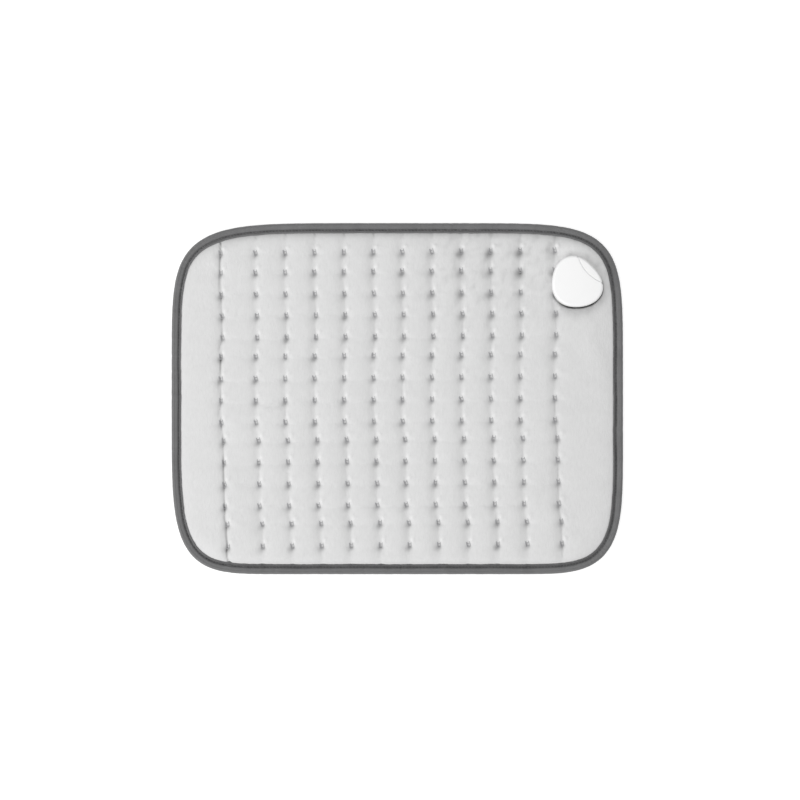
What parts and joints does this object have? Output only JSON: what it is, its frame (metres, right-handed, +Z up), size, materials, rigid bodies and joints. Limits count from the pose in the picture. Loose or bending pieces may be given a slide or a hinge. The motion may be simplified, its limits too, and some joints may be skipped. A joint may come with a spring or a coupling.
{
  "type": "heating pad",
  "caption": "Flat rectangular quilted heating pad with a plush face, a bound edge and a plug-in coupling unit with a sprung release key near one corner",
  "frame": {"origin": "middle of the pad's flat underside, on the surface that it lies on", "axes": "+X along the pad's long side towards the coupling unit, +Y along its short side towards the edge near the unit, +Z up through the plush face"},
  "size_m": [0.45, 0.35, 0.0224],
  "materials": {
    "plush": "short pile plush, pale grey",
    "lining": "plain woven, grey",
    "felt": "needled felt",
    "fleece": "thin bonded fleece",
    "tape": "ribbed binding tape, dark grey",
    "thread": "polyester sewing thread",
    "wire_sheath": "smooth insulation",
    "white_shell": "satin white",
    "inner_plastic": "moulded, matt",
    "board": "lacquered laminate",
    "steel": "drawn",
    "brass": "turned",
    "grommet": "moulded, soft"
  },
  "bodies": {
    "pad": {"bottom_cover": "lining", "lower_batting": "felt", "wire_carrier": "fleece", "heating_wire": "wire_sheath", "upper_batting": "felt", "top_cover": "plush", "edge_binding": "tape", "seam_thread_01": "thread", "seam_thread_02": "thread", "seam_thread_03": "thread", "seam_thread_04": "thread", "seam_thread_05": "thread", "seam_thread_06": "thread", "seam_thread_07": "thread", "seam_thread_08": "thread", "seam_thread_09": "thread", "seam_thread_10": "thread", "seam_thread_11": "thread", "seam_thread_12": "thread", "clamp_plate": "white_shell", "clamp_screw_1": "steel", "clamp_screw_2": "steel", "clamp_screw_3": "steel", "socket_base": "white_shell", "socket_cover": "white_shell", "key_pivot_pin": "steel", "key_spring_left": "steel", "key_spring_right": "steel", "contact_block": "inner_plastic", "contact_pin_1": "brass", "contact_pin_2": "brass", "contact_pin_3": "brass", "terminal_board": "board", "thermal_fuse": "inner_plastic", "lead_terminal_left": "brass", "lead_terminal_right": "brass", "lead_grommet": "grommet"},
    "release_key": {"release_key": "white_shell"}
  },
  "joints": [
    {"name": "release_key_press", "type": "hinge", "parent": "pad", "child": "release_key", "pos_m": [0.18728, 0.12412, 0.0184], "axis": [-0.682, 0.7314, 0], "range_deg": [0, 8], "stiffness_Nm_per_rad": 0.1, "springref_deg": -5.73, "deforming": ["key_spring_left", "key_spring_right"]}
  ]
}
